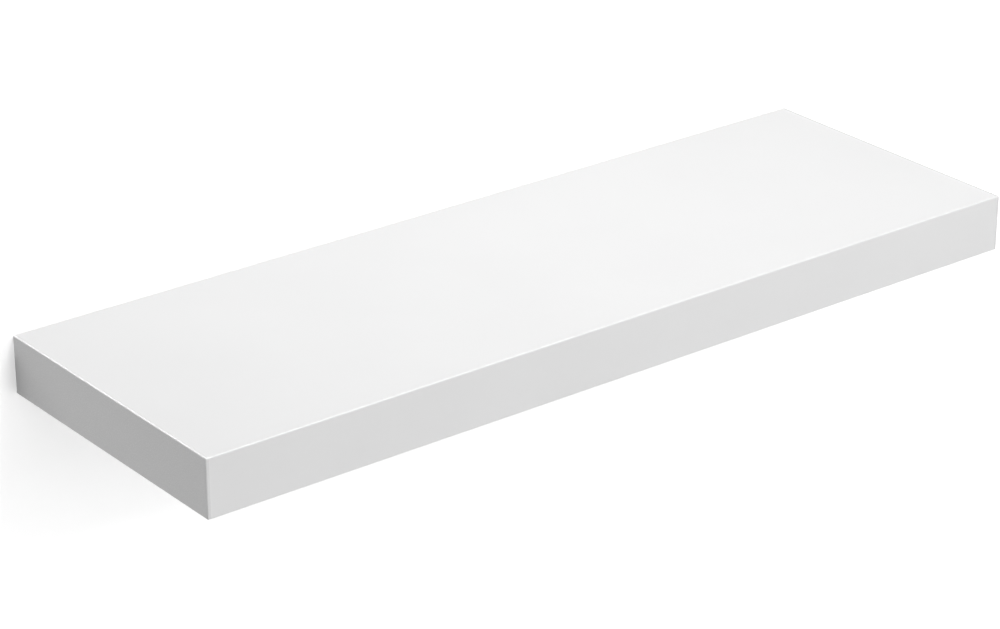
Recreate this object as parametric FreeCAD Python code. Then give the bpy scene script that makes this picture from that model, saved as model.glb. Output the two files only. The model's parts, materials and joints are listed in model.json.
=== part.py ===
import FreeCAD, Part
import math
import os

# A floating wall shelf: a hollow board that slides onto a wall plate with two rods.
#
# Millimetres. The origin is on the wall, at the middle of the board's length and thickness.
# +X runs along the wall, +Y into it and +Z up, so the board's front is at -Y and its left at -X.

# The board, outside.
BOARD_LENGTH = 600.0
BOARD_DEPTH = 200.0
BOARD_THICKNESS = 37.0
ARRIS_RADIUS = 1.0
FOIL_THICKNESS = 0.4
BAND_THICKNESS = 2.0

# The board, inside: two skins on a frame, with a paper core in each bay.
SKIN_THICKNESS = 3.0
FRONT_RAIL_DEPTH = 25.0
END_RAIL_WIDTH = 25.0
BACK_RAIL_DEPTH = 40.0
CROSS_RAIL_WIDTH = 50.0

CELL_WIDTH = 18.0
CELL_WALL = 0.5
CORE_CLEARANCE = 1.0

STAPLE_CROWN = 12.0
STAPLE_LEG = 8.0
STAPLE_WIRE = 1.2

# The wall plate and its rods.
PLATE_THICKNESS = 3.0
PLATE_END_CLEARANCE = 13.0
PLATE_EDGE_CLEARANCE = 3.1
PLATE_CORNER_RADIUS = 4.0
SLOT_FROM_PLATE_END = 40.0
ROD_FROM_SLOT = 60.0
HOLE_FROM_ROD = 70.0
WALL_HOLE_WIDTH = 5.5
WALL_SLOT_LENGTH = 12.0

ROD_DIAMETER = 12.0
ROD_TIP_TO_BOARD_FRONT = 77.0
ROD_TIP_CHAMFER = 1.5
ROD_BORE_CLEARANCE = 0.3
ROD_TIP_CLEARANCE = 6.0
COLLAR_RIM = 3.0
COLLAR_THICKNESS = 2.0
RECESS_HEAD_ROOM = 3.5
SPIGOT_SHOULDER = 2.0
RIVET_FLARE = 1.5
RIVET_CLEARANCE = 0.05

# The screws that lock the board on the rods, and the inserts that they turn in.
SCREW_DIAMETER = 5.9
SCREW_CLEARANCE = 0.1
SCREW_TIP_GAP = 0.3
SCREW_RECESS = 2.7
SCREW_CHAMFER = 0.6
THREAD_PITCH = 1.0
THREAD_DEPTH = 0.4
SOCKET_WIDTH = 3.0
SOCKET_DEPTH = 3.0

INSERT_WALL = 1.5
INSERT_RECESS = 0.2
INSERT_BORE_GAP = 0.4
INSERT_RIB_PITCH = 2.0
INSERT_RIB_DEPTH = 0.4
INSERT_CLEARANCE = 0.05

# Cutters run past the faces that they open by this much, a fillet takes no more than this share
# of its wall, and points this close together are taken as one.
OVERCUT = 1.0
FILLET_SHARE = 0.95
TOUCH = 1e-6

SIDES = {"left": -1, "right": 1}

# Places worked out from the sizes above. Those along X are for the right half.
half_length = BOARD_LENGTH / 2
half_thickness = BOARD_THICKNESS / 2
core_half_length = half_length - BAND_THICKNESS
core_half_height = half_thickness - FOIL_THICKNESS - SKIN_THICKNESS
core_front = -(BOARD_DEPTH - FOIL_THICKNESS)
front_rail_back = core_front + FRONT_RAIL_DEPTH
back_rail_back = -(PLATE_THICKNESS + COLLAR_THICKNESS + RECESS_HEAD_ROOM)
back_rail_front = back_rail_back - BACK_RAIL_DEPTH
back_rail_middle = back_rail_back - BACK_RAIL_DEPTH / 2

bay_end_x = core_half_length - END_RAIL_WIDTH
plate_end_x = bay_end_x - PLATE_END_CLEARANCE
plate_half_height = core_half_height - PLATE_EDGE_CLEARANCE
slot_x = plate_end_x - SLOT_FROM_PLATE_END
rod_x = slot_x - ROD_FROM_SLOT
hole_x = rod_x - HOLE_FROM_ROD

rod_radius = ROD_DIAMETER / 2
rod_reach = BOARD_DEPTH - ROD_TIP_TO_BOARD_FRONT
rod_bore_radius = rod_radius + ROD_BORE_CLEARANCE
rod_bore_depth = rod_reach + ROD_TIP_CLEARANCE
spigot_radius = rod_radius - SPIGOT_SHOULDER

screw_radius = SCREW_DIAMETER / 2
insert_radius = screw_radius + SCREW_CLEARANCE + INSERT_WALL
insert_hole_radius = insert_radius + INSERT_CLEARANCE


def box(x, y, z):
    """A box from three (low, high) pairs."""
    corner = FreeCAD.Vector(x[0], y[0], z[0])
    return Part.makeBox(x[1] - x[0], y[1] - y[0], z[1] - z[0], corner)


def span(middle, width):
    """The (low, high) pair of a width about its middle."""
    return middle - width / 2, middle + width / 2


def edges_at(shape, axis, value):
    """The edges of a shape that lie in the plane where the axis has the value."""
    found = []
    for edge in shape.Edges:
        places = [getattr(vertex.Point, axis) for vertex in edge.Vertexes]
        if all(abs(place - value) < TOUCH for place in places):
            found.append(edge)
    return found


def turned(outline):
    """A solid turned about the Z axis from (radius, height) points."""
    corners = [FreeCAD.Vector(radius, 0, height) for radius, height in outline]
    section = Part.Face(Part.makePolygon(corners + corners[:1]))
    return section.revolve(FreeCAD.Vector(0, 0, 0), FreeCAD.Vector(0, 0, 1), 360)


def hexagon(x, y, width):
    """A flat hexagon at z = 0, its width measured across the flats that face along X."""
    corner_radius = width / math.sqrt(3)
    corners = []
    for step in range(6):
        angle = math.radians(60 * step + 30)
        offset = FreeCAD.Vector(math.cos(angle), math.sin(angle), 0) * corner_radius
        corners.append(FreeCAD.Vector(x, y, 0) + offset)
    return Part.Face(Part.makePolygon(corners + corners[:1]))


def slab(half_width, inset):
    """The board's body, square at the wall and rounded along its front, inset from its faces."""
    front = -(BOARD_DEPTH - inset)
    height = half_thickness - inset
    block = box((-half_width, half_width), (front, 0), (-height, height))
    arrises = [edge for edge in edges_at(block, "y", front) if edge.Length > 2 * height]
    return block.makeFillet(ARRIS_RADIUS - inset, arrises)


def along_rod(outline, side):
    """A solid turned about a rod's axis from (radius, distance from the wall) points."""
    piece = turned(outline)
    piece.rotate(FreeCAD.Vector(0, 0, 0), FreeCAD.Vector(1, 0, 0), 90)
    piece.translate(FreeCAD.Vector(side * rod_x, 0, 0))
    return piece


def along_screw(piece, side):
    """Moves a piece made about the Z axis to a lock screw's axis."""
    piece.translate(FreeCAD.Vector(side * rod_x, back_rail_middle, 0))
    return piece


def cylinder(radius, low, high):
    """A cylinder about the Z axis."""
    return Part.makeCylinder(radius, high - low, FreeCAD.Vector(0, 0, low))


def drilled(piece):
    """Cuts the rod bores, and the insert holes that open into them from below."""
    for side in SIDES.values():
        bore = [(0, -OVERCUT), (rod_bore_radius, -OVERCUT),
                (rod_bore_radius, rod_bore_depth), (0, rod_bore_depth)]
        insert_hole = cylinder(insert_hole_radius, -half_thickness - OVERCUT, 0)
        piece = piece.cut(along_rod(bore, side))
        piece = piece.cut(along_screw(insert_hole, side))
    return piece


def staple(x, y, face, turn):
    """A staple with its crown flush with the frame's top (face 1) or bottom (face -1)."""
    depth = span(0, STAPLE_WIRE)
    tip = core_half_height - STAPLE_LEG
    outer = box(span(0, STAPLE_CROWN), depth, (tip, core_half_height))
    gap = box(span(0, STAPLE_CROWN - 2 * STAPLE_WIRE), depth, (tip, core_half_height - STAPLE_WIRE))
    piece = outer.cut(gap)
    if face < 0:
        piece.rotate(FreeCAD.Vector(0, 0, 0), FreeCAD.Vector(1, 0, 0), 180)
    piece.rotate(FreeCAD.Vector(0, 0, 0), FreeCAD.Vector(0, 0, 1), turn)
    piece.translate(FreeCAD.Vector(x, y, 0))
    return piece


def staples():
    """The staples across the frame's joints, on its top and bottom."""
    end_rail_middle = core_half_length - END_RAIL_WIDTH / 2
    spots = [(end_rail_middle, front_rail_back, 90), (bay_end_x, back_rail_middle, 0)]
    for joint_y in (front_rail_back, back_rail_front):
        for offset in (-CROSS_RAIL_WIDTH / 4, CROSS_RAIL_WIDTH / 4):
            spots.append((rod_x + offset, joint_y, 90))
    pieces = []
    for x, y, turn in spots:
        for side in SIDES.values():
            for face in (1, -1):
                pieces.append(staple(side * x, y, face, turn))
    return pieces


def foil_wrap():
    """The white foil, folded over the top, the front and the bottom in one sheet."""
    inside = slab(core_half_length + OVERCUT, FOIL_THICKNESS)
    return drilled(slab(core_half_length, 0).cut(inside))


def skin(face):
    """The hardboard on top of the frame (face 1) or under it (face -1)."""
    outer = core_half_height + SKIN_THICKNESS
    heights = sorted((face * core_half_height, face * outer))
    sheet = box((-half_length, half_length), (-BOARD_DEPTH, 0), heights)
    return drilled(slab(core_half_length, FOIL_THICKNESS).common(sheet))


def rail(x, y):
    """A rail of the frame, with the bores and the staples that are driven into it."""
    block = box(x, y, (-core_half_height, core_half_height))
    block = block.common(slab(core_half_length, FOIL_THICKNESS))
    return drilled(block).cut(staples())


def end_rail(side):
    """The rail inside one end, from the front rail to the wall."""
    x = sorted((side * bay_end_x, side * core_half_length))
    return rail(x, (front_rail_back, 0))


def cross_rail(side):
    """The block that a rod runs into, from the back rail to the front rail."""
    return rail(span(side * rod_x, CROSS_RAIL_WIDTH), (front_rail_back, back_rail_front))


def honeycomb(low_x, high_x):
    """The paper core of one bay, between the front rail and the back rail."""
    x = (low_x + CORE_CLEARANCE, high_x - CORE_CLEARANCE)
    y = (front_rail_back + CORE_CLEARANCE, back_rail_front - CORE_CLEARANCE)
    sheet = Part.makePlane(x[1] - x[0], y[1] - y[0], FreeCAD.Vector(x[0], y[0], 0))
    column_pitch = CELL_WIDTH + CELL_WALL
    row_pitch = column_pitch * math.sqrt(3) / 2
    columns = math.ceil((x[1] - x[0]) / 2 / column_pitch) + 1
    rows = math.ceil((y[1] - y[0]) / 2 / row_pitch) + 1
    cells = []
    for row in range(-rows, rows + 1):
        for column in range(-columns, columns + 1):
            cell_x = sum(x) / 2 + (column + row % 2 / 2) * column_pitch
            cells.append(hexagon(cell_x, sum(y) / 2 + row * row_pitch, CELL_WIDTH))
    walls = max(sheet.cut(cells).Faces, key=lambda face: face.Area)
    core = walls.extrude(FreeCAD.Vector(0, 0, 2 * core_half_height))
    core.translate(FreeCAD.Vector(0, 0, -core_half_height))
    return core


def edge_band(side):
    """The plastic edging of one end, rounded where it meets the top, the front and the bottom."""
    x = sorted((side * core_half_length, side * half_length))
    ends = box(x, (-BOARD_DEPTH, 0), (-half_thickness, half_thickness))
    band = slab(half_length, 0).common(ends)
    outer_edges = edges_at(band, "x", side * half_length)
    arrises = [edge for edge in outer_edges if edge.CenterOfMass.y < -TOUCH]
    return band.makeFillet(FILLET_SHARE * min(ARRIS_RADIUS, BAND_THICKNESS), arrises)


def rivet_shape(clearance):
    """The end of a rod in the wall plate, flared flush with the plate's back."""
    radius = spigot_radius + clearance
    flare_start = RIVET_FLARE + clearance
    return [(0, 0), (radius + RIVET_FLARE, 0), (radius, flare_start), (radius, PLATE_THICKNESS)]


def support_rod(side):
    """A rod with a collar against the wall plate and a chamfered tip."""
    collar_radius = rod_radius + COLLAR_RIM
    collar_front = PLATE_THICKNESS + COLLAR_THICKNESS
    outline = rivet_shape(0) + [
        (collar_radius, PLATE_THICKNESS), (collar_radius, collar_front), (rod_radius, collar_front),
        (rod_radius, rod_reach - ROD_TIP_CHAMFER), (rod_radius - ROD_TIP_CHAMFER, rod_reach),
        (0, rod_reach)]
    return along_rod(outline, side)


def wall_hole(x):
    """A cutter for a wall screw's round hole, through the plate."""
    start = FreeCAD.Vector(x, -PLATE_THICKNESS - OVERCUT, 0)
    depth = PLATE_THICKNESS + 2 * OVERCUT
    return Part.makeCylinder(WALL_HOLE_WIDTH / 2, depth, start, FreeCAD.Vector(0, 1, 0))


def wall_slot(x):
    """A cutter for a slot, in which a wall screw can sit a little to either side."""
    ends = span(x, WALL_SLOT_LENGTH - WALL_HOLE_WIDTH)
    middle = box(ends, (-PLATE_THICKNESS - OVERCUT, OVERCUT), span(0, WALL_HOLE_WIDTH))
    return middle.fuse([wall_hole(end) for end in ends])


def wall_plate():
    """The steel strip that is screwed to the wall, inside the board's recess."""
    plate = box((-plate_end_x, plate_end_x), (-PLATE_THICKNESS, 0),
                (-plate_half_height, plate_half_height))
    corners = edges_at(plate, "x", -plate_end_x) + edges_at(plate, "x", plate_end_x)
    corners = [edge for edge in corners if abs(edge.CenterOfMass.z) > plate_half_height - TOUCH]
    plate = plate.makeFillet(PLATE_CORNER_RADIUS, corners)
    for side in SIDES.values():
        plate = plate.cut(wall_slot(side * slot_x))
        plate = plate.cut(wall_hole(side * hole_x))
        plate = plate.cut(along_rod(rivet_shape(RIVET_CLEARANCE) + [(0, PLATE_THICKNESS)], side))
    return plate


def ribs(radius, low, high, pitch, depth):
    """(radius, height) points up a ribbed side, with whole ribs from low to high."""
    count = max(1, round((high - low) / pitch))
    step = (high - low) / count
    points = []
    for rib in range(count):
        start = low + rib * step
        points += [(radius - depth, start), (radius, start + step / 2)]
    return points + [(radius - depth, high)]


def threaded_insert(side):
    """The brass sleeve under a rod, in which the lock screw turns."""
    low = -half_thickness + INSERT_RECESS
    high = -rod_bore_radius - INSERT_BORE_GAP
    bore_radius = screw_radius + SCREW_CLEARANCE
    outline = [(bore_radius, low)]
    outline += ribs(insert_radius, low, high, INSERT_RIB_PITCH, INSERT_RIB_DEPTH)
    outline += [(bore_radius, high)]
    return along_screw(turned(outline), side)


def lock_screw(side):
    """A socket set screw, its tip just under the rod."""
    low = -half_thickness + SCREW_RECESS
    high = -rod_radius - SCREW_TIP_GAP
    thread = ribs(screw_radius, low + SCREW_CHAMFER, high - SCREW_CHAMFER, THREAD_PITCH, THREAD_DEPTH)
    end_radius = screw_radius - THREAD_DEPTH - SCREW_CHAMFER
    outline = [(0, low), (end_radius, low)] + thread + [(end_radius, high), (0, high)]
    socket = hexagon(0, 0, SOCKET_WIDTH).extrude(FreeCAD.Vector(0, 0, SOCKET_DEPTH + OVERCUT))
    socket.translate(FreeCAD.Vector(0, 0, low - OVERCUT))
    return along_screw(turned(outline).cut(socket), side)


def nodes():
    """Every sub-part by name."""
    cross_inner_x = rod_x - CROSS_RAIL_WIDTH / 2
    cross_outer_x = rod_x + CROSS_RAIL_WIDTH / 2
    parts = {
        "foil_wrap": foil_wrap(),
        "top_skin": skin(1),
        "bottom_skin": skin(-1),
        "front_rail": rail((-core_half_length, core_half_length), (core_front, front_rail_back)),
        "back_rail": rail((-bay_end_x, bay_end_x), (back_rail_front, back_rail_back)),
        "left_honeycomb": honeycomb(-bay_end_x, -cross_outer_x),
        "middle_honeycomb": honeycomb(-cross_inner_x, cross_inner_x),
        "right_honeycomb": honeycomb(cross_outer_x, bay_end_x),
        "frame_staples": Part.makeCompound(staples()),
        "wall_plate": wall_plate(),
    }
    for name, side in SIDES.items():
        parts[name + "_end_rail"] = end_rail(side)
        parts[name + "_cross_rail"] = cross_rail(side)
        parts[name + "_edge_band"] = edge_band(side)
        parts[name + "_threaded_insert"] = threaded_insert(side)
        parts[name + "_support_rod"] = support_rod(side)
        parts[name + "_lock_screw"] = lock_screw(side)
    return parts


os.makedirs("parts", exist_ok=True)
for node, shape in nodes().items():
    shape.exportStep(os.path.join("parts", node + ".step"))
    print(f"{node:24s} solids {len(shape.Solids):2d}  volume {shape.Volume / 1000:9.2f} cm3")
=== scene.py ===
import json
import math

import bmesh
import bpy
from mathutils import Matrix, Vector

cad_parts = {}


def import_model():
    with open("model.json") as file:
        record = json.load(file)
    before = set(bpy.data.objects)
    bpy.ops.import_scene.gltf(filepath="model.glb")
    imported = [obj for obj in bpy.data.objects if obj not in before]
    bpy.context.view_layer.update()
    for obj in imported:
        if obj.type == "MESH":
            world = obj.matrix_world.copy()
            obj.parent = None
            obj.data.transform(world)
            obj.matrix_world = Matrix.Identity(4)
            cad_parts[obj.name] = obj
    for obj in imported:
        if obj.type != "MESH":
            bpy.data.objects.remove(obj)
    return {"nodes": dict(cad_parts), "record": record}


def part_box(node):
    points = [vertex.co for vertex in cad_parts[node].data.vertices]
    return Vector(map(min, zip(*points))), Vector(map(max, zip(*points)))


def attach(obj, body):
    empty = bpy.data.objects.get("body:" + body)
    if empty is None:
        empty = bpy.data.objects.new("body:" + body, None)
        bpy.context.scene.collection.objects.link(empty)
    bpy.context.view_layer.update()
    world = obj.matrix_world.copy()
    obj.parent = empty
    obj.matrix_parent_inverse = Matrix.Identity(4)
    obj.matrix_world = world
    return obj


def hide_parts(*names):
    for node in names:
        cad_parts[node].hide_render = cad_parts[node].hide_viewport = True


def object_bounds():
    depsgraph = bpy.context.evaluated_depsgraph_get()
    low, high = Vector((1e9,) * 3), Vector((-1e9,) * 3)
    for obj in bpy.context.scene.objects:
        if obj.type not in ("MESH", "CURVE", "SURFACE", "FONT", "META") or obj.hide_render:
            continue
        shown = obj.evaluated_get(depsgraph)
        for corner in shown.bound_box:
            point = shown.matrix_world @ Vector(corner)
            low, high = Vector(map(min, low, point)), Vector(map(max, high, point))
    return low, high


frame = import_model()
cad_low, cad_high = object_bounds()

# The looks of a white floating wall shelf, in metres. The CAD nodes give every place and overall
# size; the sizes below are those of the detail that is modelled here.
MM = 0.001
ARRIS_RADIUS = 1.0 * MM
BAND_ARRIS_RADIUS = 0.95 * MM
ARRIS_STEPS = 12

PLATE_CORNER_RADIUS = 4.0 * MM
PLATE_RIM = 0.4 * MM
RIM_STEPS = 3
WALL_HOLE_RADIUS = 2.75 * MM
WALL_SLOT_LENGTH = 12.0 * MM
SLOT_FROM_PLATE_END = 40.0 * MM
HOLE_FROM_ROD = 70.0 * MM

ROD_RADIUS = 6.0 * MM
ROD_TIP_CHAMFER = 1.5 * MM
COLLAR_THICKNESS = 2.0 * MM
COLLAR_RIM = 0.4 * MM
SPIGOT_RADIUS = 4.0 * MM
RIVET_FLARE = 1.5 * MM
RIVET_CLEARANCE = 0.05 * MM
RIVET_DISH_RADIUS = 2.4 * MM
RIVET_DISH_DEPTH = 0.6 * MM
ROUND_STEPS = 48

SCREW_PITCH = 1.0 * MM
SCREW_THREAD_DEPTH = 0.5 * MM
SCREW_CHAMFER = 0.6 * MM
SCREW_CLEARANCE = 0.1 * MM
SCREW_CUP_RADIUS = 1.4 * MM
SCREW_CUP_FLOOR_RADIUS = 0.35 * MM
SCREW_CUP_DEPTH = 0.5 * MM
SOCKET_WIDTH = 3.0 * MM
SOCKET_DEPTH = 3.0 * MM
SOCKET_MOUTH_RADIUS = 1.86 * MM
SOCKET_MOUTH_DEPTH = 0.25 * MM
SOCKET_FLOOR_SHARE = 0.4
INSERT_PITCH = 2.0 * MM
INSERT_THREAD_DEPTH = 0.5 * MM
INSERT_RIM = 0.3 * MM
INSERT_CLEARANCE = 0.05 * MM
THREAD_ROWS_PER_PITCH = 10
THREAD_COLUMNS = 36

SMOOTH_ANGLE = math.radians(32)


# ------------------------------------------------------------------ meshes


def loft(work, rings, closed=False):
    """Quads between rings of points; the ends are capped, unless the last ring joins the first."""
    loops = [[work.verts.new(point) for point in ring] for ring in rings]
    pairs = list(zip(loops, loops[1:]))
    if closed:
        pairs.append((loops[-1], loops[0]))
    for low, high in pairs:
        for index in range(len(low)):
            follow = (index + 1) % len(low)
            work.faces.new((low[index], low[follow], high[follow], high[index]))
    if not closed:
        work.faces.new(loops[0])
        work.faces.new(loops[-1])
    return loops


def add_object(name, data):
    """A new object in the scene."""
    added = bpy.data.objects.new(name, data)
    bpy.context.scene.collection.objects.link(added)
    return added


def add_mesh(name, work):
    """A new object in the scene from a bmesh, with its faces turned outwards."""
    bmesh.ops.recalc_face_normals(work, faces=work.faces)
    mesh = bpy.data.meshes.new(name)
    work.to_mesh(mesh)
    work.free()
    return add_object(name, mesh)


def finish_piece(work, name, node, body, slot):
    """Turns a bmesh into a piece that stands for a CAD node and rides on its body."""
    piece = add_mesh(name, work)
    piece.data.shade_smooth()
    piece.data.set_sharp_from_angle(angle=SMOOTH_ANGLE)
    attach(piece, body)
    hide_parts(node)
    piece.data.materials.append(MATERIALS[slot])
    return piece


def flatten_shading(piece):
    """Lets the large flat faces decide the shading where they run into rounded ones."""
    modifier = piece.modifiers.new("flat_faces", "WEIGHTED_NORMAL")
    modifier.keep_sharp = True


def middle(low, high):
    """The (x, y) of the middle of a box."""
    return (low.x + high.x) / 2, (low.y + high.y) / 2


def circle(radius, place):
    """Points round a circle; place(u, v) puts each into the scene."""
    points = []
    for step in range(ROUND_STEPS):
        angle = 2 * math.pi * step / ROUND_STEPS
        points.append(place(radius * math.cos(angle), radius * math.sin(angle)))
    return points


def cylinder_cutter(x, y, low, high, radius):
    """A round cutter along Z, as an object that isn't kept."""
    work = bmesh.new()
    loft(work, [circle(radius, lambda u, v, z=z: (x + u, y + v, z)) for z in (low, high)])
    return add_mesh("cutter", work)


def cut(piece, cutters):
    """Cuts the shapes out of a piece and removes them."""
    for cutter in cutters:
        modifier = piece.modifiers.new("cut", "BOOLEAN")
        modifier.object = cutter
        modifier.operation = "DIFFERENCE"
        modifier.solver = "EXACT"
    shown = piece.evaluated_get(bpy.context.evaluated_depsgraph_get())
    mesh = bpy.data.meshes.new_from_object(shown)
    piece.modifiers.clear()
    piece.data = mesh
    for cutter in cutters:
        bpy.data.objects.remove(cutter)


# ------------------------------------------------------------------ board


def board_outline(inset):
    """Points (y, z) round the board's section: square at the wall, rounded along the front."""
    front = cad_low.y + inset
    height = cad_high.z - inset
    radius = ARRIS_RADIUS - inset
    points = [(cad_high.y, height)]
    for corner, start in ((1, math.pi / 2), (-1, math.pi)):
        arris_y = front + radius
        arris_z = corner * (height - radius)
        for step in range(ARRIS_STEPS + 1):
            angle = start + step / ARRIS_STEPS * math.pi / 2
            points.append((arris_y + radius * math.cos(angle), arris_z + radius * math.sin(angle)))
    return points + [(cad_high.y, -height)]


def insert_places():
    """The (x, y) of the two holes in the underside."""
    return [middle(*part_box(node)) for node in ("left_threaded_insert", "right_threaded_insert")]


def foil_wrap():
    """The foil: one thin sheet over the top, the front and the bottom, with the two screw holes."""
    low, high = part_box("foil_wrap")
    thickness = high.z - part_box("top_skin")[1].z
    section = board_outline(0) + board_outline(thickness)[::-1]
    work = bmesh.new()
    loft(work, [[(x, y, z) for y, z in section] for x in (low.x, high.x)])
    piece = finish_piece(work, "foil_wrap_sheet", "foil_wrap", "shelf_board", "white_foil")
    insert_low, insert_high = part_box("left_threaded_insert")
    radius = (insert_high.x - insert_low.x) / 2 + INSERT_CLEARANCE
    cut(piece, [cylinder_cutter(x, y, 2 * low.z, 0, radius) for x, y in insert_places()])
    flatten_shading(piece)


def edge_band(side, name):
    """The edging of one end, rounded over its outer edges but not along the wall."""
    low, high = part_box(name + "_edge_band")
    outer = max(low.x, high.x, key=abs)
    inner = min(low.x, high.x, key=abs)
    rings = [[(inner, y, z) for y, z in board_outline(0)]]
    for step in range(ARRIS_STEPS + 1):
        angle = step / ARRIS_STEPS * math.pi / 2
        x = outer - side * BAND_ARRIS_RADIUS * (1 - math.sin(angle))
        inset = BAND_ARRIS_RADIUS * (1 - math.cos(angle))
        rings.append([(x, y, z) for y, z in board_outline(inset)])
    work = bmesh.new()
    loft(work, rings)
    piece = finish_piece(work, name + "_edge_banding", name + "_edge_band", "shelf_board",
                         "white_edging")
    flatten_shading(piece)


# ------------------------------------------------------------------ bracket


def slot_ring(x, run, radius, y):
    """Points round a slot or, with no run, a round hole, in the plane of the wall."""
    points = []
    for step in range(ROUND_STEPS):
        angle = 2 * math.pi * (step + 0.5) / ROUND_STEPS
        shift = run / 2 if math.cos(angle) > 0 else -run / 2
        points.append((x + shift + radius * math.cos(angle), y, radius * math.sin(angle)))
    return points


def plate_ring(half_length, half_height, radius, y):
    """Points round the wall plate's rounded rectangle."""
    points = []
    for step in range(ROUND_STEPS):
        angle = 2 * math.pi * (step + 0.5) / ROUND_STEPS
        corner_x = math.copysign(half_length - radius, math.cos(angle))
        corner_z = math.copysign(half_height - radius, math.sin(angle))
        points.append((corner_x + radius * math.cos(angle), y, corner_z + radius * math.sin(angle)))
    return points


def rim_rows(front, back, rim):
    """(inset, y) pairs over a plate's rounded edge, from its front face to its back."""
    rows = []
    for step in range(RIM_STEPS + 1):
        angle = step / RIM_STEPS * math.pi / 2
        rows.append((rim * (1 - math.sin(angle)), front + rim * (1 - math.cos(angle))))
    return rows + [(inset, front + back - y) for inset, y in reversed(rows)]


def open_loft(work, rings):
    """A loft without its two caps; returns the first and the last loop of vertices."""
    loops = loft(work, rings)
    caps = [face for face in work.faces if len(face.verts) == len(loops[0])]
    bmesh.ops.delete(work, geom=caps, context="FACES_ONLY")
    return loops[0], loops[-1]


def loop_edges(work, loop):
    """The edges between the neighbours of a loop of vertices."""
    return [work.edges.get((loop[index - 1], loop[index])) for index in range(len(loop))]


def wall_plate():
    """The steel strip with softened edges, two slots, two round holes and the two riveted holes."""
    low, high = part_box("wall_plate")
    rod_x = rod_middle("right")
    rows = rim_rows(low.y, high.y, PLATE_RIM)
    slot_x = high.x - SLOT_FROM_PLATE_END
    slot_run = WALL_SLOT_LENGTH - 2 * WALL_HOLE_RADIUS
    walls = [[plate_ring(high.x - inset, high.z - inset, PLATE_CORNER_RADIUS - inset, y)
              for inset, y in rows]]
    for side in (-1, 1):
        for x, run in ((slot_x, slot_run), (rod_x - HOLE_FROM_ROD, 0)):
            walls.append([slot_ring(side * x, run, WALL_HOLE_RADIUS + inset, y)
                          for inset, y in rows])
        radius = SPIGOT_RADIUS + RIVET_CLEARANCE
        walls.append([slot_ring(side * rod_x, 0, radius, low.y),
                      slot_ring(side * rod_x, 0, radius, high.y - RIVET_FLARE),
                      slot_ring(side * rod_x, 0, radius + RIVET_FLARE, high.y)])
    work = bmesh.new()
    fronts, backs = [], []
    for rings in walls:
        front, back = open_loft(work, rings)
        fronts += loop_edges(work, front)
        backs += loop_edges(work, back)
    for edges in (fronts, backs):
        bmesh.ops.triangle_fill(work, edges=edges, use_beauty=True)
    piece = finish_piece(work, "wall_plate_strip", "wall_plate", "wall_bracket", "powder_coat")
    flatten_shading(piece)


def rod_middle(name):
    """The x of a rod's axis."""
    return middle(*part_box(name + "_support_rod"))[0]


def support_rod(name):
    """A turned rod: a riveted end, a collar against the plate and a chamfered tip."""
    low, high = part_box(name + "_support_rod")
    x = rod_middle(name)
    collar_radius = (high.z - low.z) / 2
    plate_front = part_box("wall_plate")[0].y
    collar_front = plate_front - COLLAR_THICKNESS
    outline = [
        (RIVET_DISH_RADIUS - RIVET_DISH_DEPTH, high.y - RIVET_DISH_DEPTH),
        (RIVET_DISH_RADIUS, high.y),
        (SPIGOT_RADIUS + RIVET_FLARE, high.y), (SPIGOT_RADIUS, high.y - RIVET_FLARE),
        (SPIGOT_RADIUS, plate_front),
        (collar_radius - COLLAR_RIM, plate_front), (collar_radius, plate_front - COLLAR_RIM),
        (collar_radius, collar_front + COLLAR_RIM), (collar_radius - COLLAR_RIM, collar_front),
        (ROD_RADIUS, collar_front), (ROD_RADIUS, low.y + ROD_TIP_CHAMFER),
        (ROD_RADIUS - ROD_TIP_CHAMFER, low.y)]
    work = bmesh.new()
    loft(work, [circle(radius, lambda u, v, y=y: (x + u, y, v)) for radius, y in outline])
    finish_piece(work, name + "_support_rod_turned", name + "_support_rod", "wall_bracket",
                 "zinc_plated_steel")


# ------------------------------------------------------------------ screws


def thread_radius(crest, depth, pitch, angle, z):
    """The radius of a thread at an angle and a height: a ridge that climbs one pitch a turn."""
    phase = (z / pitch - angle / (2 * math.pi)) % 1
    return crest - depth * abs(2 * phase - 1)


def turned_ring(x, y, z, radius_at):
    """Points round a vertical axis, their radius a function of the angle."""
    points = []
    for column in range(THREAD_COLUMNS):
        angle = 2 * math.pi * column / THREAD_COLUMNS
        radius = radius_at(angle)
        points.append((x + radius * math.cos(angle), y + radius * math.sin(angle), z))
    return points


def round_rings(x, y, rows):
    """Plain round rings about a vertical axis, from (radius, z) rows."""
    return [turned_ring(x, y, z, lambda angle, radius=radius: radius) for radius, z in rows]


def thread_rings(x, y, low, high, crest, depth, pitch, end):
    """Rings up a thread, which fades into the chamfers at both of its ends."""
    rings = []
    rows = round((high - low) / pitch * THREAD_ROWS_PER_PITCH)
    for row in range(rows + 1):
        z = low + (high - low) * row / rows
        chamfer = crest - end + min(z - low, high - z)
        def radius_at(angle, z=z, chamfer=chamfer):
            return min(thread_radius(crest, depth, pitch, angle, z), chamfer)
        rings.append(turned_ring(x, y, z, radius_at))
    return rings


def hexagon_radius(width):
    """The radius of a hexagon as a function of the angle."""
    def radius_at(angle):
        return width / 2 / math.cos((angle + math.pi / 6) % (math.pi / 3) - math.pi / 6)
    return radius_at


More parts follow.
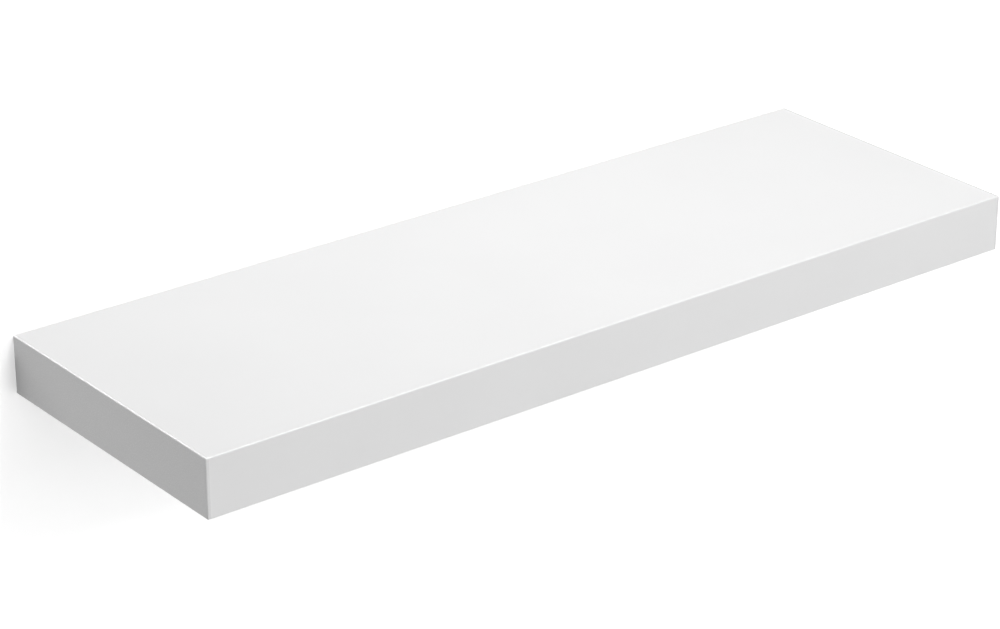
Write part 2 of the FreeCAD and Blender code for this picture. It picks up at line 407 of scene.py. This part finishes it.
def lock_screw(name):
    """A set screw: a threaded shank, a hexagon socket below and a cupped tip above."""
    low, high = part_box(name + "_lock_screw")
    x, y = middle(low, high)
    crest = (high.x - low.x) / 2
    lead = SCREW_CHAMFER / 2
    end_radius = crest - SCREW_THREAD_DEPTH - lead
    socket = hexagon_radius(SOCKET_WIDTH)
    socket_floor = hexagon_radius(SOCKET_FLOOR_SHARE * SOCKET_WIDTH)
    rings = [turned_ring(x, y, low.z + SOCKET_DEPTH, socket_floor),
             turned_ring(x, y, low.z + SOCKET_DEPTH, socket),
             turned_ring(x, y, low.z + SOCKET_MOUTH_DEPTH, socket)]
    rings += round_rings(x, y, [(SOCKET_MOUTH_RADIUS, low.z), (end_radius, low.z)])
    rings += thread_rings(x, y, low.z + lead, high.z - lead, crest, SCREW_THREAD_DEPTH,
                          SCREW_PITCH, SCREW_CHAMFER)
    rings += round_rings(x, y, [(end_radius, high.z), (SCREW_CUP_RADIUS, high.z),
                                (SCREW_CUP_FLOOR_RADIUS, high.z - SCREW_CUP_DEPTH)])
    work = bmesh.new()
    loft(work, rings)
    finish_piece(work, name + "_lock_screw_threaded", name + "_lock_screw", name + "_lock_screw",
                 "black_oxide_steel")


def threaded_insert(name):
    """A brass sleeve with a coarse outer thread and a plain bore."""
    low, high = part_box(name + "_threaded_insert")
    x, y = middle(low, high)
    crest = (high.x - low.x) / 2
    end_radius = crest - INSERT_THREAD_DEPTH - INSERT_RIM
    screw_low, screw_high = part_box(name + "_lock_screw")
    bore = (screw_high.x - screw_low.x) / 2 + SCREW_CLEARANCE
    rings = thread_rings(x, y, low.z + INSERT_RIM, high.z - INSERT_RIM, crest,
                         INSERT_THREAD_DEPTH, INSERT_PITCH, INSERT_RIM)
    rings += round_rings(x, y, [(end_radius, high.z), (bore + INSERT_RIM, high.z),
                                (bore, high.z - INSERT_RIM), (bore, low.z + INSERT_RIM),
                                (bore + INSERT_RIM, low.z), (end_radius, low.z)])
    work = bmesh.new()
    loft(work, rings, closed=True)
    finish_piece(work, name + "_threaded_insert_sleeve", name + "_threaded_insert", "shelf_board",
                 "insert_brass")


# ------------------------------------------------------------------ materials


class Surface:
    """A material with one Principled shader, and short ways to give it procedural texture."""

    def __init__(self, name, **values):
        self.material = bpy.data.materials.new(name)
        self.material.use_nodes = True
        self.nodes = self.material.node_tree.nodes
        self.links = self.material.node_tree.links
        self.shader = self.nodes["Principled BSDF"]
        for socket, value in values.items():
            self.shader.inputs[socket.replace("_", " ")].default_value = value
        self.coords = self.nodes.new("ShaderNodeTexCoord").outputs["Object"]

    def link(self, output, node, socket):
        """Feeds an output into a node's input."""
        self.links.new(output, node.inputs[socket])

    def feed(self, socket, output):
        """Feeds an output into the Principled shader."""
        self.link(output, self.shader, socket)

    def stretched(self, scale):
        """Object coordinates with their own scale along each axis."""
        node = self.nodes.new("ShaderNodeMapping")
        node.inputs["Scale"].default_value = scale
        self.link(self.coords, node, "Vector")
        return node.outputs["Vector"]

    def noise(self, size, detail=4.0, rough=0.5, coords=None):
        """Noise whose lumps are about the given size in metres."""
        node = self.nodes.new("ShaderNodeTexNoise")
        node.inputs["Scale"].default_value = 1 / size
        node.inputs["Detail"].default_value = detail
        node.inputs["Roughness"].default_value = rough
        self.link(coords or self.coords, node, "Vector")
        return node.outputs["Fac"]

    def chips(self, size, coords):
        """Voronoi cells of about the given size, each with its own colour."""
        node = self.nodes.new("ShaderNodeTexVoronoi")
        node.inputs["Scale"].default_value = 1 / size
        self.link(coords, node, "Vector")
        return node.outputs["Color"]

    def bent(self, coords, size, reach):
        """Coordinates pushed about by noise, so that what they draw has ragged edges."""
        noise = self.nodes.new("ShaderNodeTexNoise")
        noise.inputs["Scale"].default_value = 1 / size
        self.link(coords, noise, "Vector")
        push = self.nodes.new("ShaderNodeVectorMath")
        push.operation = "MULTIPLY_ADD"
        self.link(noise.outputs["Color"], push, 0)
        push.inputs[1].default_value = (reach, reach, reach)
        self.link(coords, push, 2)
        return push.outputs["Vector"]

    def ramp(self, value, low, high, out_low=0.0, out_high=1.0):
        """Maps a value's range to another."""
        node = self.nodes.new("ShaderNodeMapRange")
        for socket, number in (("From Min", low), ("From Max", high),
                               ("To Min", out_low), ("To Max", out_high)):
            node.inputs[socket].default_value = number
        self.link(value, node, "Value")
        return node.outputs["Result"]

    def colours(self, value, stops):
        """A colour ramp over a value, from (position, rgb) stops."""
        node = self.nodes.new("ShaderNodeValToRGB")
        ramp = node.color_ramp
        while len(ramp.elements) < len(stops):
            ramp.elements.new(1.0)
        for element, (position, colour) in zip(ramp.elements, stops):
            element.position = position
            element.color = (*colour, 1.0)
        self.link(value, node, "Fac")
        return node.outputs["Color"]

    def mix(self, amount, first, second, how="MIX"):
        """One colour blended with another."""
        node = self.nodes.new("ShaderNodeMix")
        node.data_type = "RGBA"
        node.blend_type = how
        for value, socket in ((amount, 0), (first, 6), (second, 7)):
            if isinstance(value, (int, float, tuple)):
                node.inputs[socket].default_value = value
            else:
                self.link(value, node, socket)
        return node.outputs[2]

    def bump(self, height, depth, under=None):
        """A bump of the given depth in metres, on top of another one if there is one."""
        node = self.nodes.new("ShaderNodeBump")
        node.inputs["Strength"].default_value = 1.0
        node.inputs["Distance"].default_value = depth
        self.link(height, node, "Height")
        if under is not None:
            self.link(under, node, "Normal")
        self.feed("Normal", node.outputs["Normal"])
        return node.outputs["Normal"]


# The darkest tone of a white surface, as a share of its white.
LAMINATE_DIMMEST = 0.985


def white_laminate(name, white, grain_size, roughness):
    """Satin white foil or edging, with a faint pearl emboss and a barely uneven tone."""
    surface = Surface(name)
    tone = surface.noise(0.09, detail=3.0)
    dim = white * LAMINATE_DIMMEST
    surface.feed("Base Color", surface.colours(tone, [(0.35, (dim, dim, dim)),
                                                      (0.65, (white, white, white))]))
    pores = surface.noise(grain_size, detail=2.0, rough=0.6)
    surface.feed("Roughness", surface.ramp(pores, 0.3, 0.7, roughness - 0.03, roughness + 0.03))
    waves = surface.bump(surface.noise(0.05, detail=1.0), 0.02 * MM)
    surface.bump(pores, 0.002 * MM, under=waves)
    return surface.material


def hardboard():
    """Brown hardboard: fine pressed fibres with darker flecks."""
    surface = Surface("hardboard", Specular_IOR_Level=0.3)
    fibres = surface.noise(0.9 * MM, detail=6.0, rough=0.7,
                           coords=surface.stretched((0.5, 0.5, 1.6)))
    flecks = surface.noise(2.2 * MM, detail=3.0, rough=0.6)
    brown = surface.colours(fibres, [(0.30, (0.130, 0.072, 0.036)), (0.50, (0.225, 0.135, 0.070)),
                                     (0.72, (0.340, 0.220, 0.125))])
    dark = surface.ramp(flecks, 0.56, 0.68)
    surface.feed("Base Color", surface.mix(dark, brown, (0.105, 0.058, 0.030, 1.0)))
    surface.feed("Roughness", surface.ramp(fibres, 0.3, 0.7, 0.72, 0.9))
    surface.bump(fibres, 0.08 * MM)
    return surface.material


def particle_board():
    """Particle board: ragged light and dark wood chips pressed flat, with small sunken gaps whose
    dark colour is partly painted shade.
    """
    surface = Surface("particle_board", Specular_IOR_Level=0.25)
    chip_coords = surface.bent(surface.stretched((0.40, 0.80, 1.50)), 1.2 * MM, 1.6 * MM)
    splinter_coords = surface.bent(surface.stretched((0.45, 0.90, 1.60)), 0.5 * MM, 0.7 * MM)
    chip_colour = surface.colours(surface.chips(1.6 * MM, chip_coords),
                                  [(0.18, (0.34, 0.205, 0.095)), (0.32, (0.52, 0.355, 0.19)),
                                   (0.60, (0.62, 0.445, 0.255)), (0.85, (0.74, 0.56, 0.35))])
    splinter_colour = surface.colours(surface.chips(0.7 * MM, splinter_coords),
                                      [(0.15, (0.30, 0.175, 0.080)), (0.40, (0.50, 0.335, 0.175)),
                                       (0.85, (0.68, 0.50, 0.30))])
    patches = surface.ramp(surface.noise(1.8 * MM, detail=3.0), 0.47, 0.53)
    wood = surface.mix(patches, chip_colour, splinter_colour)
    grain = surface.noise(0.35 * MM, detail=5.0, rough=0.7,
                          coords=surface.stretched((0.5, 0.8, 1.4)))
    shade = surface.colours(grain, [(0.30, (0.78, 0.76, 0.74)), (0.62, (1.0, 1.0, 1.0))])
    fine = surface.mix(1.0, wood, shade, how="MULTIPLY")
    gaps = surface.noise(0.9 * MM, detail=4.0, rough=0.65,
                         coords=surface.stretched((0.5, 0.8, 1.5)))
    # The gaps are sunk by the bump and coloured dark: partly the darker wood inside, partly painted
    # shade.
    pits = surface.ramp(gaps, 0.62, 0.70, 0.0, 0.8)
    surface.feed("Base Color", surface.mix(pits, fine, (0.13, 0.070, 0.030, 1.0)))
    surface.feed("Roughness", surface.ramp(grain, 0.3, 0.7, 0.75, 0.95))
    sunk = surface.bump(surface.ramp(pits, 0.0, 0.8, 1.0, 0.0), 0.25 * MM)
    surface.bump(grain, 0.10 * MM, under=sunk)
    return surface.material


def kraft_paper():
    """Brown kraft paper with fine fibres."""
    surface = Surface("honeycomb_paper", Specular_IOR_Level=0.2)
    fibres = surface.noise(0.8 * MM, detail=6.0, rough=0.75,
                           coords=surface.stretched((1.0, 1.0, 0.3)))
    surface.feed("Base Color", surface.colours(fibres, [(0.3, (0.27, 0.17, 0.085)),
                                                        (0.7, (0.47, 0.33, 0.19))]))
    surface.feed("Roughness", surface.ramp(fibres, 0.3, 0.7, 0.8, 0.95))
    surface.bump(fibres, 0.05 * MM)
    return surface.material


def powder_coat():
    """Black powder coat with its orange peel."""
    surface = Surface("powder_coat")
    peel = surface.noise(0.7 * MM, detail=2.0, rough=0.45)
    tone = surface.noise(12 * MM, detail=3.0)
    black = surface.colours(tone, [(0.3, (0.016, 0.016, 0.017)), (0.7, (0.026, 0.026, 0.028))])
    surface.feed("Base Color", black)
    surface.feed("Roughness", surface.ramp(tone, 0.3, 0.7, 0.40, 0.52))
    surface.bump(peel, 0.05 * MM)
    return surface.material


def metal(name, dim, bright, roughness, stretch, line_size, line_depth):
    """Bare or plated metal with the fine lines of its machining."""
    surface = Surface(name, Metallic=1.0)
    cloud = surface.noise(4 * MM, detail=4.0)
    surface.feed("Base Color", surface.colours(cloud, [(0.3, dim), (0.7, bright)]))
    lines = surface.noise(line_size, detail=3.0, rough=0.6, coords=surface.stretched(stretch))
    surface.feed("Roughness", surface.ramp(lines, 0.3, 0.7, roughness - 0.07, roughness + 0.09))
    surface.bump(lines, line_depth)
    return surface.material


MATERIALS = {
    "white_foil": white_laminate("white_foil", 0.885, 0.8 * MM, 0.40),
    # The edging's white sits a little below the foil's: partly its own colour, partly painted shade
    # that darkens the ends.
    "white_edging": white_laminate("white_edging", 0.855, 0.6 * MM, 0.26),
    "hardboard": hardboard(),
    "particle_board": particle_board(),
    "honeycomb_paper": kraft_paper(),
    "staple_wire": metal("staple_wire", (0.55, 0.55, 0.54), (0.68, 0.68, 0.66), 0.30,
                         (1.0, 1.0, 1.0), 0.4 * MM, 0.004 * MM),
    "insert_brass": metal("insert_brass", (0.62, 0.42, 0.16), (0.78, 0.56, 0.24), 0.32,
                          (0.3, 0.3, 2.0), 0.3 * MM, 0.006 * MM),
    "powder_coat": powder_coat(),
    "zinc_plated_steel": metal("zinc_plated_steel", (0.56, 0.58, 0.60), (0.70, 0.71, 0.71), 0.34,
                               (0.02, 2.0, 0.02), 0.4 * MM, 0.004 * MM),
    "black_oxide_steel": metal("black_oxide_steel", (0.040, 0.040, 0.044), (0.085, 0.083, 0.082),
                               0.38, (0.4, 0.4, 2.0), 0.3 * MM, 0.004 * MM),
}


def dress_cad_nodes():
    """Gives every CAD node that stays visible its slot's material."""
    for row in frame["record"]["subparts"]:
        node = frame["nodes"][row["node"]]
        if node.hide_render:
            continue
        for slot in node.material_slots:
            slot.material = MATERIALS[row["material_slot"]]


# ------------------------------------------------------------------ stage


# The wall and the floor reach this far along each of their axes.
STAGE_REACH = (-15.0, 15.0)
FLOOR_DROP = 0.9
WALL_GAP = 0.3 * MM
# How far the painted shade in the glow of the wall and the floor reaches.
CONTACT_REACH = 0.40
CORNER_SHADE_WIDTH = 16.0 * MM
CORNER_SHADE_DROP = 50.0 * MM
CORNER_SHADE_RISE = 6.0 * MM

# Light as it is seen, where 1 is white. Paint takes part in the lighting, and a glow is only seen.
PAINT_WHITE = 0.80
WALL_GLOW = 0.728
FLOOR_GLOW = 0.58
AMBIENT = 0.342
BACKDROP = 0.72

# Lamps: place, size in metres and power in watts. All point at the middle of the board.
KEY_LAMP = ((0.143, -2.48, 1.445), 0.57, 23.3)
RIGHT_LAMP = ((0.71, -1.391, 0.485), 0.47, 3.8)
TOP_LAMP = ((0.07, 0.07, 1.04), 0.50, 5.0)
BACK_LAMP = ((-0.70, 2.20, 0.70), 0.90, 9.0)
# A spot on the back of the shelf, which the picture doesn't see: place, radius, power and degrees.
BACK_SPOT = ((0.0, 2.40, -0.10), 0.25, 72.0, 22.0)
# Lamps that only show as a reflection, in the top's rounded front and left edges. The left one
# stands inside the line of the left end, so that the end's flat face never mirrors it.
FRONT_GLINT = ((1.60, -0.48, 3.50), 1.6, 125.0)
LEFT_GLINT = ((0.09, 2.11, 1.85), 0.78, 27.0)


def plane(name, u, v, place, material):
    """A flat stage piece over two ranges; place(u, v) puts each corner into the scene."""
    corners = [place(u[0], v[0]), place(u[1], v[0]), place(u[1], v[1]), place(u[0], v[1])]
    mesh = bpy.data.meshes.new(name)
    mesh.from_pydata(corners, [], [(0, 1, 2, 3)])
    mesh.materials.append(material)
    piece = add_object(name, mesh)
    return piece


def calculated(tree, operation, first, second):
    """The sum or the product of an output and another output or a number."""
    node = tree.nodes.new("ShaderNodeMath")
    node.operation = operation
    tree.links.new(first, node.inputs[0])
    if isinstance(second, float):
        node.inputs[1].default_value = second
    else:
        tree.links.new(second, node.inputs[1])
    return node.outputs[0]


def grey(level):
    """An opaque grey."""
    return (level, level, level, 1.0)


def glowing_paint(name, glow):
    """Matt paint with a glow that is seen and reflected; an ambient occlusion node darkens the glow
    with painted shade where something stands close.

    It shows from the front only, so that the shelf can be looked at from behind and from below.
    """
    surface = Surface(name, Roughness=1.0, Specular_IOR_Level=0.0, Base_Color=grey(PAINT_WHITE))
    tree = surface.material.node_tree
    path = tree.nodes.new("ShaderNodeLightPath")
    # Painted shade: the glow takes its colour from ambient occlusion, so it darkens near the shelf.
    contact_shade = tree.nodes.new("ShaderNodeAmbientOcclusion")
    contact_shade.samples = 4
    contact_shade.inputs["Distance"].default_value = CONTACT_REACH
    light = tree.nodes.new("ShaderNodeEmission")
    surface.link(contact_shade.outputs["Color"], light, "Color")
    seen = calculated(tree, "ADD", path.outputs["Is Camera Ray"], path.outputs["Is Glossy Ray"])
    surface.link(calculated(tree, "MULTIPLY", seen, glow), light, "Strength")
    both = tree.nodes.new("ShaderNodeAddShader")
    surface.link(surface.shader.outputs["BSDF"], both, 0)
    surface.link(light.outputs["Emission"], both, 1)
    side = tree.nodes.new("ShaderNodeNewGeometry")
    clear = tree.nodes.new("ShaderNodeBsdfTransparent")
    choice = tree.nodes.new("ShaderNodeMixShader")
    surface.link(side.outputs["Backfacing"], choice, "Fac")
    surface.link(both.outputs["Shader"], choice, 1)
    surface.link(clear.outputs["BSDF"], choice, 2)
    surface.link(choice.outputs["Shader"], tree.nodes["Material Output"], "Surface")
    return surface.material


def wall():
    """The white wall behind the shelf."""
    y = cad_high.y + WALL_GAP
    piece = plane("wall", STAGE_REACH, STAGE_REACH, lambda x, z: (x, y, z),
                  glowing_paint("wall_paint", WALL_GLOW))
    piece.visible_diffuse = False
    piece.visible_glossy = False
    piece.visible_transmission = False
    piece.visible_shadow = False


def floor():
    """A pale floor well below the shelf: it sends light back up, and isn't seen itself."""
    piece = plane("floor", STAGE_REACH, STAGE_REACH, lambda x, y: (x, y, -FLOOR_DROP),
                  glowing_paint("floor_paint", FLOOR_GLOW))
    piece.visible_camera = False
    piece.visible_shadow = False


def corner_shade(side):
    """Dims the soft light where an end of the board meets the wall, and isn't seen itself."""
    surface = Surface("corner_shade", Roughness=1.0, Specular_IOR_Level=0.0, Base_Color=grey(0.0))
    y = cad_high.y + 2 * WALL_GAP
    width = (side * cad_high.x, side * (cad_high.x + CORNER_SHADE_WIDTH))
    height = (-CORNER_SHADE_DROP, CORNER_SHADE_RISE)
    piece = plane("corner_shade", width, height, lambda x, z: (x, y, z), surface.material)
    piece.visible_camera = False
    piece.visible_glossy = False
    piece.visible_transmission = False
    piece.visible_shadow = False


def aimed(name, data, place):
    """Puts a lamp in its place, pointing at the middle of the board."""
    piece = add_object(name, data)
    piece.location = place
    piece.rotation_mode = "QUATERNION"
    target = (cad_low + cad_high) / 2
    piece.rotation_quaternion = (target - Vector(place)).to_track_quat("-Z", "Y")
    return piece


def lamp(name, place, size, power):
    """A soft square lamp."""
    data = bpy.data.lights.new(name, "AREA")
    data.size = size
    data.energy = power
    return aimed(name, data, place)


def back_spot():
    """A narrow lamp for the back, which keeps off the floor."""
    place, radius, power, degrees = BACK_SPOT
    data = bpy.data.lights.new("back_spot", "SPOT")
    data.shadow_soft_size = radius
    data.energy = power
    data.spot_size = math.radians(degrees)
    aimed("back_spot", data, place).visible_glossy = False


def glint(name, values):
    """A lamp that only shows as a reflection."""
    piece = lamp(name, *values)
    piece.visible_diffuse = False
    return piece


def shine_only_on(piece, receiver_name):
    """Limits a lamp's light to one piece."""
    receivers = bpy.data.collections.new(piece.name + "_receivers")
    receivers.objects.link(bpy.data.objects[receiver_name])
    piece.light_linking.receiver_collection = receivers


def world():
    """An even surround: dim as a light, pale where it is seen and white where it is reflected."""
    surround = bpy.data.worlds.new("surround")
    bpy.context.scene.world = surround
    surround.use_nodes = True
    tree = surround.node_tree
    background = tree.nodes["Background"]
    background.inputs["Color"].default_value = grey(1.0)
    path = tree.nodes.new("ShaderNodeLightPath")
    seen = calculated(tree, "MULTIPLY", path.outputs["Is Camera Ray"], BACKDROP - AMBIENT)
    reflected = calculated(tree, "MULTIPLY", path.outputs["Is Glossy Ray"], 1.0 - AMBIENT)
    strength = calculated(tree, "ADD", calculated(tree, "ADD", seen, reflected), AMBIENT)
    tree.links.new(strength, background.inputs["Strength"])


# ------------------------------------------------------------------ camera

# The focal length in pixels is that of a picture 1000 pixels wide.
PICTURE_WIDTH = 1000
FOCAL_PIXELS = 3303.9
SENSOR_WIDTH = 36.0
CAMERA_PLACE = (-1.1432, -1.5303, 0.8077)
CAMERA_TURN = (65.778, 0.018, -38.070)


def camera():
    """The camera at the viewing angle of the picture."""
    data = bpy.data.cameras.new("camera")
    data.sensor_width = SENSOR_WIDTH
    data.lens = SENSOR_WIDTH * FOCAL_PIXELS / PICTURE_WIDTH
    data.clip_start = 0.01
    eye = add_object("camera", data)
    eye.location = CAMERA_PLACE
    eye.rotation_euler = [math.radians(angle) for angle in CAMERA_TURN]
    bpy.context.scene.camera = eye


# ------------------------------------------------------------------ scene

camera()
world()
wall()
floor()
for end_side in (-1, 1):
    corner_shade(end_side)
for lamp_name, lamp_values in (("key_lamp", KEY_LAMP), ("right_lamp", RIGHT_LAMP),
                               ("top_lamp", TOP_LAMP), ("back_lamp", BACK_LAMP)):
    lamp(lamp_name, *lamp_values).visible_glossy = False
back_spot()
glint("front_glint", FRONT_GLINT)
left_glint = glint("left_glint", LEFT_GLINT)

foil_wrap()
for band_side, band_name in ((-1, "left"), (1, "right")):
    edge_band(band_side, band_name)
    support_rod(band_name)
    threaded_insert(band_name)
    lock_screw(band_name)
wall_plate()
dress_cad_nodes()
shine_only_on(left_glint, "left_edge_banding")

bpy.context.scene.view_settings.view_transform = "Standard"
